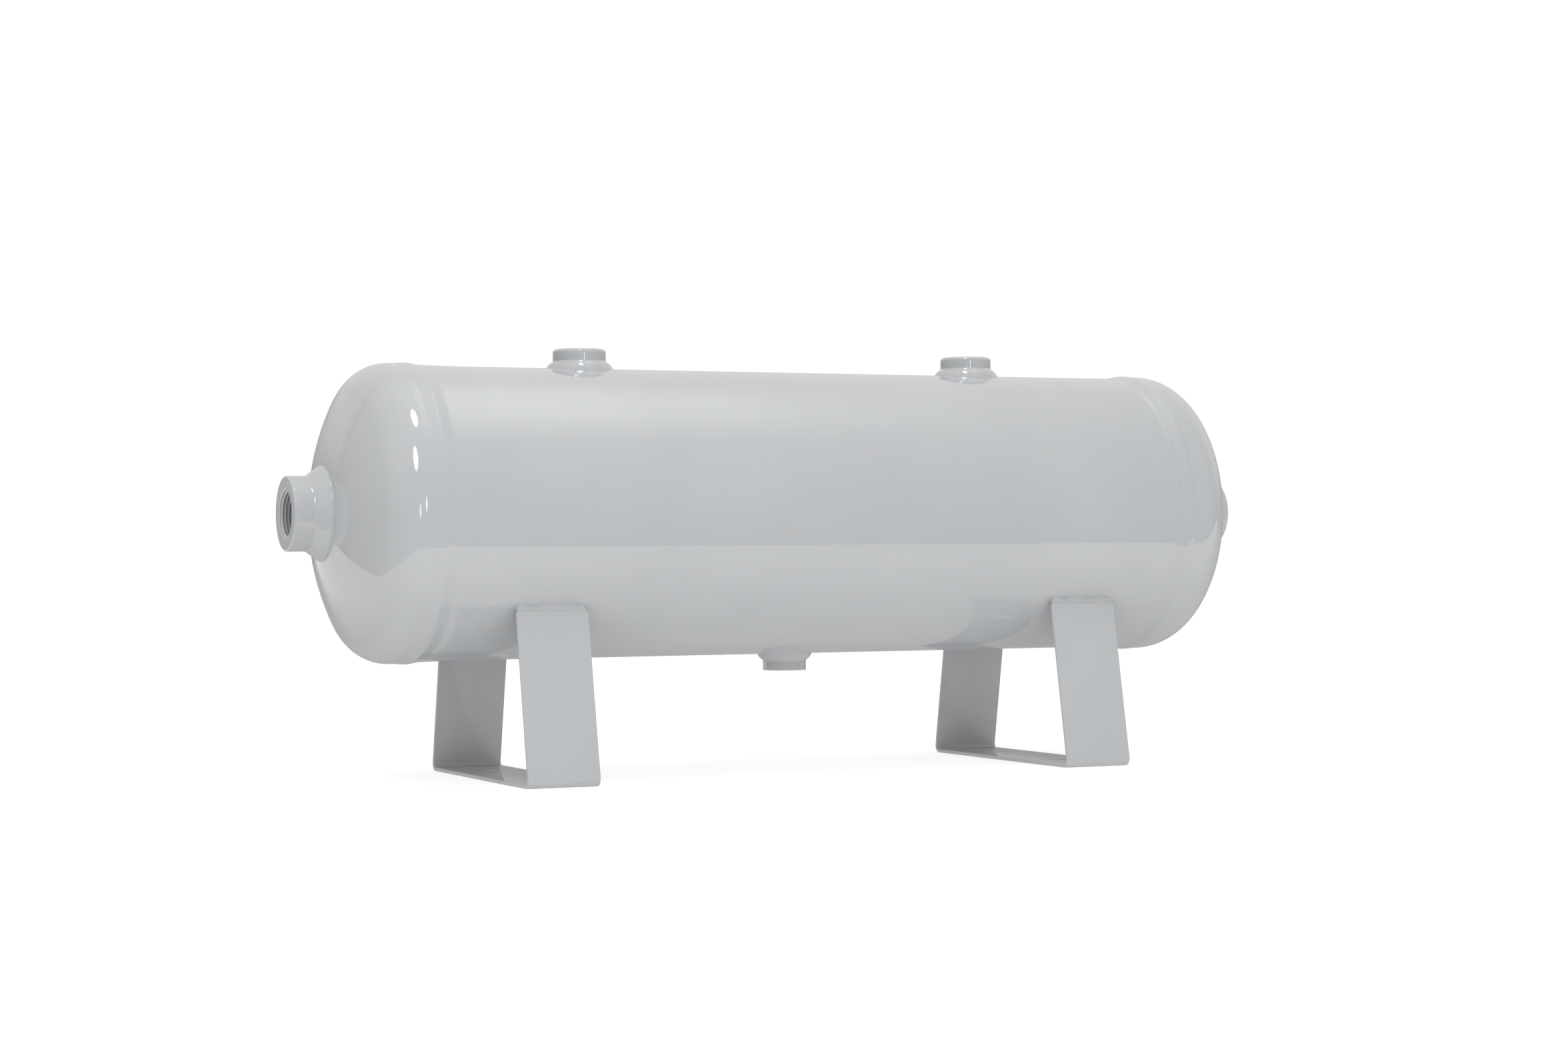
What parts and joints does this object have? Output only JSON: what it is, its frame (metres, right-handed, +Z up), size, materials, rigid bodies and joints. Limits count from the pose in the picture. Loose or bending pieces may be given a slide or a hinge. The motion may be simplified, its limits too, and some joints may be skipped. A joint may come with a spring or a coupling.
{
  "type": "compressed air receiver tank",
  "caption": "Horizontal welded steel air receiver with dished heads, threaded end, top and drain bosses, and two bent strip feet.",
  "frame": {"origin": "on the floor under the middle of the tank", "axes": "+X along the tank towards the foot with slots, +Z up, +Y across the tank towards the shell's seam weld"},
  "size_m": [0.74, 0.2126, 0.304],
  "materials": {
    "vessel_paint": "glossy light grey paint on rolled and pressed plate, with a fine spray texture",
    "weld_paint": "the same paint over a rippled weld bead",
    "boss_paint": "the same paint on turned steel, thin and darker in the threads",
    "foot_paint": "the same paint on bent strip, a little flatter, rubbed at the edges"
  },
  "bodies": {
    "root": {"shell": "vessel_paint", "seam_weld": "weld_paint", "head_left": "vessel_paint", "girth_weld_left": "weld_paint", "end_boss_left": "boss_paint", "end_boss_weld_left": "weld_paint", "top_boss_left": "boss_paint", "top_boss_weld_left": "weld_paint", "foot_left": "foot_paint", "foot_weld_left_front": "weld_paint", "foot_weld_left_back": "weld_paint", "head_right": "vessel_paint", "girth_weld_right": "weld_paint", "end_boss_right": "boss_paint", "end_boss_weld_right": "weld_paint", "top_boss_right": "boss_paint", "top_boss_weld_right": "weld_paint", "foot_right": "foot_paint", "foot_weld_right_front": "weld_paint", "foot_weld_right_back": "weld_paint", "drain_boss": "boss_paint", "drain_boss_weld": "weld_paint"}
  },
  "joints": []
}
